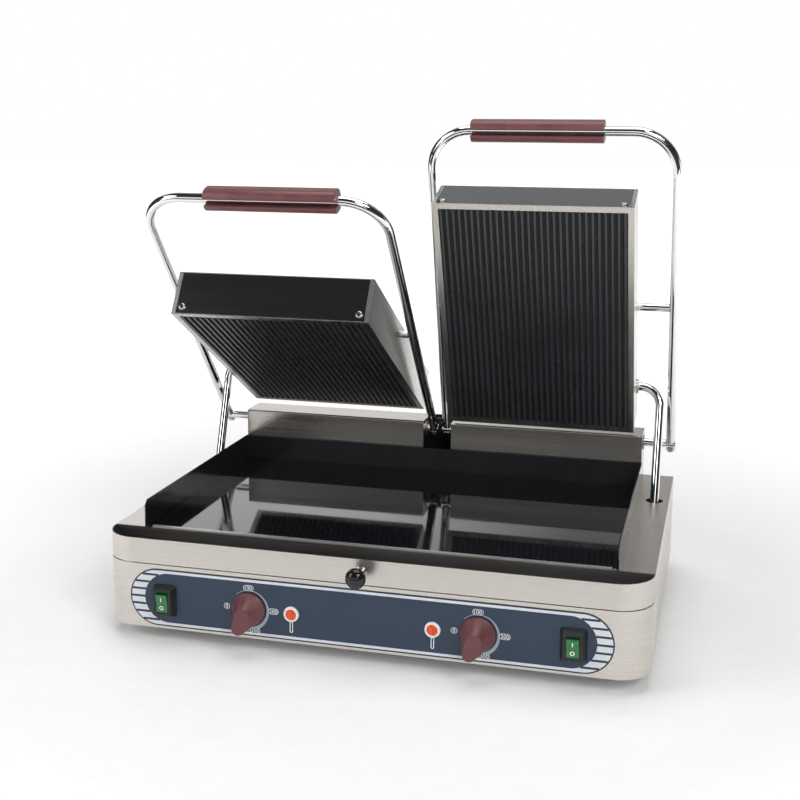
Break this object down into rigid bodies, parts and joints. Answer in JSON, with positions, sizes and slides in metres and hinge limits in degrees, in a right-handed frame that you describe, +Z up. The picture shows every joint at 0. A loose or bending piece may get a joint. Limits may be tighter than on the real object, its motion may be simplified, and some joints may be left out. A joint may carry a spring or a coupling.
{
  "type": "glass-ceramic griddle",
  "caption": "Tabletop double contact griddle with a black glass-ceramic top, ribbed upper plates on bent lift handles, a drip trough and a front control panel.",
  "frame": {"origin": "on the table, under the middle of the whole object at rest", "axes": "+X to the right seen from the front, +Y to the rear, +Z up; the control panel faces -Y"},
  "size_m": [0.624, 0.457, 0.5926],
  "materials": {
    "casing_steel": "brushed stainless steel",
    "zinc_plate": "plain zinc-plated sheet",
    "foot_rubber": "matt black rubber",
    "black_glass": "glossy black glass-ceramic",
    "bright_trim": "polished steel strip",
    "black_enamel": "glossy black enamel",
    "heater_board": "pressed ceramic fibre",
    "blue_panel": "blue overlay with a silver border",
    "white_plastic": "white moulded plastic",
    "orange_lens": "translucent orange plastic",
    "black_plastic": "matt black moulded plastic",
    "boot_rubber": "black rubber boot",
    "green_rocker": "lit green plastic",
    "knob_plastic": "dark brown phenolic",
    "spindle_steel": "turned steel",
    "housing_steel": "brushed stainless steel",
    "bronze_bush": "sintered bronze",
    "spring_steel": "oiled spring steel",
    "bar_chrome": "polished chrome",
    "fixing_steel": "plated steel",
    "grip_plastic": "dark brown phenolic",
    "plate_steel": "brushed stainless steel",
    "dark_panel": "dark polished sheet"
  },
  "bodies": {
    "base": {"lower_casing": "casing_steel", "upper_casing": "casing_steel", "bottom_plate": "zinc_plate", "tray_guides": "zinc_plate", "feet": "foot_rubber", "lower_glass": "black_glass", "glass_trim": "bright_trim", "splash_guard": "black_enamel", "centre_bracket": "black_enamel", "lower_heaters": "heater_board", "control_overlay": "blue_panel", "lamp_bezels": "white_plastic", "lamp_lenses": "orange_lens", "thermostats": "black_plastic", "switch_bodies": "black_plastic", "terminal_block": "black_plastic", "cable_gland": "black_plastic", "switch_boots": "boot_rubber", "spring_housing_left": "housing_steel", "spring_housing_right": "housing_steel", "axle_bushes_left": "bronze_bush", "axle_bushes_right": "bronze_bush", "torsion_spring_left": "spring_steel", "torsion_spring_right": "spring_steel"},
    "knob_left": {"knob_left": "knob_plastic", "thermostat_spindle_left": "spindle_steel"},
    "rocker_left": {"switch_rocker_left": "green_rocker"},
    "handle_left": {"handle_bar_left": "bar_chrome", "axle_left": "bar_chrome", "leg_nuts_left": "fixing_steel", "grip_left": "grip_plastic", "pivot_pins_left": "bar_chrome"},
    "plate_left": {"plate_cover_left": "plate_steel", "end_panel_left": "dark_panel", "panel_screws_left": "fixing_steel", "plate_rim_left": "plate_steel", "ribbed_glass_left": "black_glass", "plate_heater_left": "heater_board", "conduit_gland_left": "fixing_steel"},
    "conduit_left": {"conduit_left": "bar_chrome"},
    "knob_right": {"knob_right": "knob_plastic", "thermostat_spindle_right": "spindle_steel"},
    "rocker_right": {"switch_rocker_right": "green_rocker"},
    "handle_right": {"handle_bar_right": "bar_chrome", "axle_right": "bar_chrome", "leg_nuts_right": "fixing_steel", "grip_right": "grip_plastic", "pivot_pins_right": "bar_chrome"},
    "plate_right": {"plate_cover_right": "plate_steel", "end_panel_right": "dark_panel", "panel_screws_right": "fixing_steel", "plate_rim_right": "plate_steel", "ribbed_glass_right": "black_glass", "plate_heater_right": "heater_board", "conduit_gland_right": "fixing_steel"},
    "conduit_right": {"conduit_right": "bar_chrome"},
    "drip_tray": {"drip_tray": "casing_steel", "tray_knob": "knob_plastic"}
  },
  "joints": [
    {"name": "handle_lift_left", "type": "hinge", "parent": "base", "child": "handle_left", "pos_m": [-0.1575, 0.179, 0.176], "axis": [-1, 0, 0], "range_deg": [-51.99, 6]},
    {"name": "plate_tilt_left", "type": "hinge", "parent": "handle_left", "child": "plate_left", "pos_m": [-0.141, 0.05733, 0.32518], "axis": [-1, 0, 0], "range_deg": [-2.5, 21.24]},
    {"name": "conduit_swivel_left", "type": "hinge", "parent": "plate_left", "child": "conduit_left", "pos_m": [-0.2614, 0.1497, 0.26139], "axis": [-1, 0, 0], "range_deg": [-0.63, 5.11]},
    {"name": "dial_turn_left", "type": "hinge", "parent": "base", "child": "knob_left", "pos_m": [-0.1297, -0.1985, 0.0524], "axis": [0, 1, 0], "range_deg": [0, 270]},
    {"name": "rocker_tip_left", "type": "hinge", "parent": "base", "child": "rocker_left", "pos_m": [-0.231, -0.2066, 0.0521], "axis": [1, 0, 0], "range_deg": [-16, 0]},
    {"name": "handle_lift_right", "type": "hinge", "parent": "base", "child": "handle_right", "pos_m": [0.1575, 0.179, 0.176], "axis": [-1, 0, 0], "range_deg": [-75.59, 0]},
    {"name": "plate_tilt_right", "type": "hinge", "parent": "handle_right", "child": "plate_right", "pos_m": [0.141, 0.12723, 0.36141], "axis": [-1, 0, 0], "range_deg": [0, 6.04]},
    {"name": "conduit_swivel_right", "type": "hinge", "parent": "plate_right", "child": "conduit_right", "pos_m": [0.2614, 0.15924, 0.25382], "axis": [-1, 0, 0], "range_deg": [0, 37.97]},
    {"name": "dial_turn_right", "type": "hinge", "parent": "base", "child": "knob_right", "pos_m": [0.1297, -0.1985, 0.0524], "axis": [0, 1, 0], "range_deg": [0, 270]},
    {"name": "rocker_tip_right", "type": "hinge", "parent": "base", "child": "rocker_right", "pos_m": [0.231, -0.2066, 0.0521], "axis": [1, 0, 0], "range_deg": [-16, 0]},
    {"name": "tray_slide", "type": "slide", "parent": "base", "child": "drip_tray", "axis": [0, -1, 0], "range_m": [0, 0.065]}
  ],
  "couplings": [
    {"joint": "plate_tilt_left", "follows": "handle_lift_left", "ratio": -0.40759},
    {"joint": "conduit_swivel_left", "follows": "handle_lift_left", "ratio": -0.0974},
    {"joint": "plate_tilt_right", "follows": "handle_lift_right", "ratio": -0.07925},
    {"joint": "conduit_swivel_right", "follows": "handle_lift_right", "ratio": -0.5017}
  ]
}
